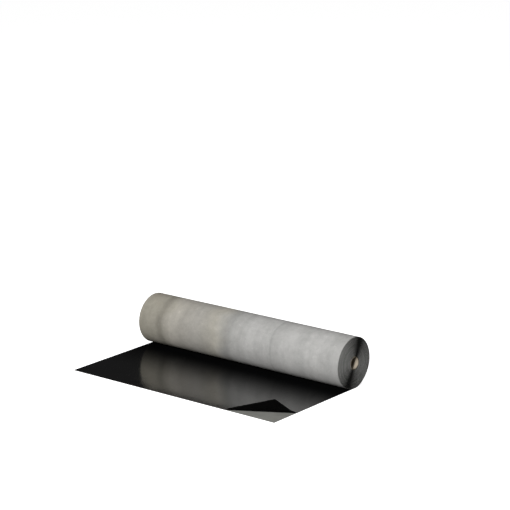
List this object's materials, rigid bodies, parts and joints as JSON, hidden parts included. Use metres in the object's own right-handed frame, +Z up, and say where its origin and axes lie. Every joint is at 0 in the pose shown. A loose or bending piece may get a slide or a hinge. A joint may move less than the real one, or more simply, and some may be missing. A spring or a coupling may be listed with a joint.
{
  "type": "roll of tanking membrane",
  "caption": "Roll of self-adhesive tanking membrane on a cardboard core, its last turn laid out flat on its release liner with one corner folded back.",
  "frame": {"origin": "on the ground, under the middle of the whole thing's box", "axes": "+X along the roll's axis, -Y the way the tail is laid out, +Z up"},
  "size_m": [1, 0.5789, 0.202],
  "materials": {
    "membrane": "gloss black film over black bitumen compound",
    "release_liner": "pale grey siliconised paper",
    "core_tube": "brown spiral-wound cardboard"
  },
  "bodies": {
    "root": {"membrane": "membrane", "release_liner": "release_liner", "core_tube": "core_tube"}
  },
  "joints": []
}
